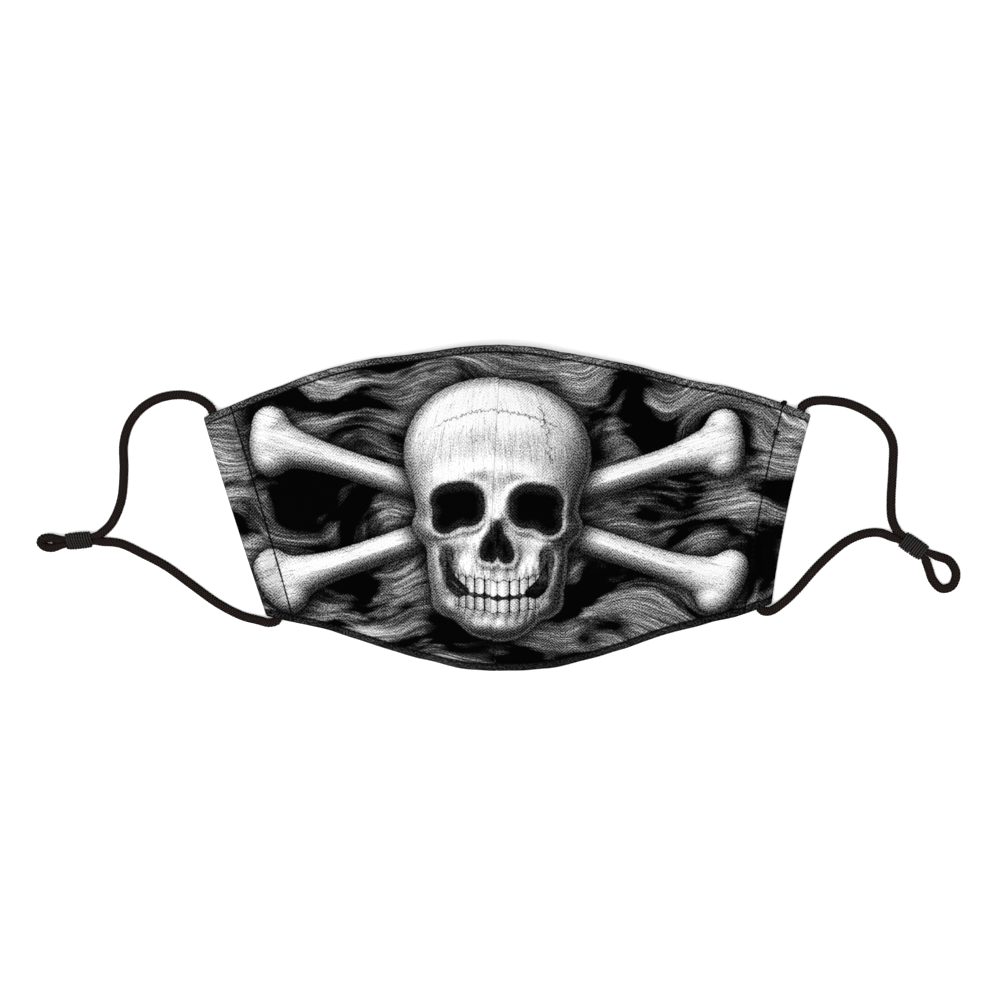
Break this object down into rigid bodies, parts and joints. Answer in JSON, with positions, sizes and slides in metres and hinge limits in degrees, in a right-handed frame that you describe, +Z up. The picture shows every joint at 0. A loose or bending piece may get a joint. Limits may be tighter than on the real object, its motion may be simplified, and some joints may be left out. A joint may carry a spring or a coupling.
{
  "type": "skull mask",
  "caption": "Contoured cloth face mask with a seam down the middle, a printed front, and an elastic ear loop with a sliding adjuster at each side.",
  "frame": {"origin": "on the surface that the mask lies on, below the middle of the cloth's own box, without the ear cords", "axes": "+Z up, out of the printed front; +Y towards the nose edge; +X to the right of someone who looks at the front. The mask lies on its inner side"},
  "size_m": [0.3502, 0.1233, 0.0346],
  "materials": {
    "printed_cloth": "matte woven cloth, printed in grey and white on black, plain black inside",
    "elastic_cord": "black braided elastic",
    "winding_thread": "black wound thread"
  },
  "bodies": {
    "root": {"left_panel": "printed_cloth", "right_panel": "printed_cloth", "left_ear_cord": "elastic_cord", "right_ear_cord": "elastic_cord", "left_adjuster": "winding_thread", "right_adjuster": "winding_thread"}
  },
  "joints": []
}
